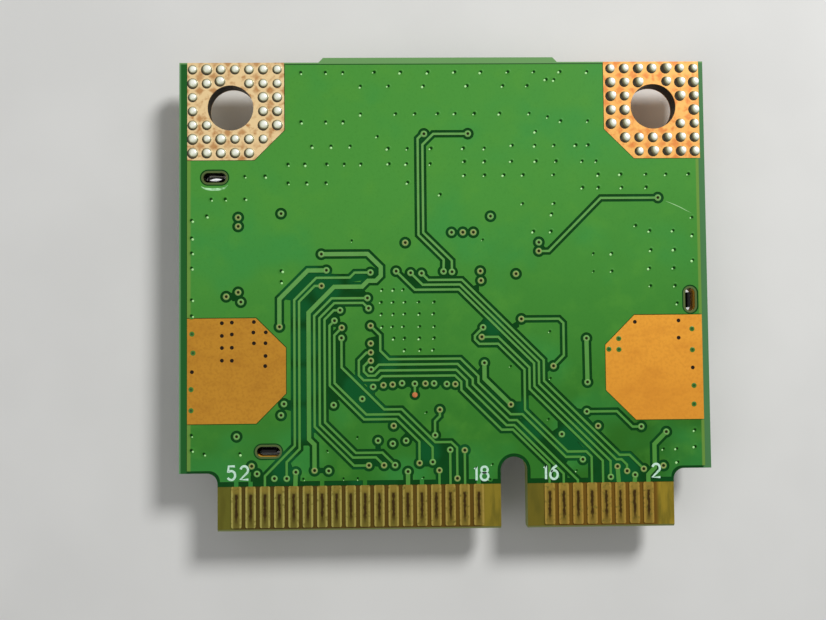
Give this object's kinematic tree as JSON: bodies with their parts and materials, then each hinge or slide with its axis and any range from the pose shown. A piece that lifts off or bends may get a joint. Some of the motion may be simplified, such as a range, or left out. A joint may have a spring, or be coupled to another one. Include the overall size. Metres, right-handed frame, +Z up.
{
  "type": "wireless network card",
  "caption": "Half-size laptop wireless card: green circuit board with a gold contact edge, keying notch, bare pads round its mounting holes, and a shielded component side underneath.",
  "frame": {"origin": "middle of the card's footprint, on the floor that the shield lid lies on", "axes": "+X along the contact edge towards contact 2, +Y from the contacts towards the mounting holes, +Z up out of the wiring side"},
  "size_m": [0.03, 0.0268, 0.0031],
  "materials": {
    "laminate": "satin",
    "mask_dark": "gloss",
    "mask_over_copper": "gloss",
    "mask_over_track": "gloss",
    "via_ring": "satin",
    "gold": "satin",
    "contact_gold": "satin",
    "solder": "gloss",
    "shield_steel": "satin",
    "chip_black": "matte",
    "ceramic_tan": "matte",
    "ceramic_white": "matte",
    "connector_plastic": "matte",
    "tin": "satin"
  },
  "bodies": {
    "root": {"board": "laminate", "back_mask": "mask_dark", "back_ground_copper": "mask_over_copper", "back_tracks": "mask_over_track", "back_via_rings": "via_ring", "test_pad": "gold", "back_contacts": "contact_gold", "front_contacts": "contact_gold", "back_corner_pad_left": "gold", "back_corner_pad_right": "gold", "solder_bumps_left": "solder", "solder_bumps_right": "solder", "side_pad_left": "gold", "side_pad_right": "gold", "slot_plating": "gold", "front_mask": "mask_dark", "front_corner_pad_left": "gold", "front_corner_pad_right": "gold", "shield_frame": "shield_steel", "shield_lid": "shield_steel", "radio_chip": "chip_black", "radio_chip_terminals": "tin", "front_end_chip_main": "chip_black", "front_end_chip_aux": "chip_black", "front_end_terminals": "tin", "regulator_chip": "chip_black", "regulator_leads": "tin", "memory_chip": "chip_black", "memory_leads": "tin", "crystal": "ceramic_white", "crystal_lid": "shield_steel", "power_inductor": "chip_black", "inductor_terminals": "tin", "capacitors": "ceramic_tan", "capacitor_terminals": "tin", "resistors": "chip_black", "resistor_terminals": "tin", "antenna_base_main": "connector_plastic", "antenna_shell_main": "gold", "antenna_pin_main": "gold", "antenna_base_aux": "connector_plastic", "antenna_shell_aux": "gold", "antenna_pin_aux": "gold"}
  },
  "joints": []
}
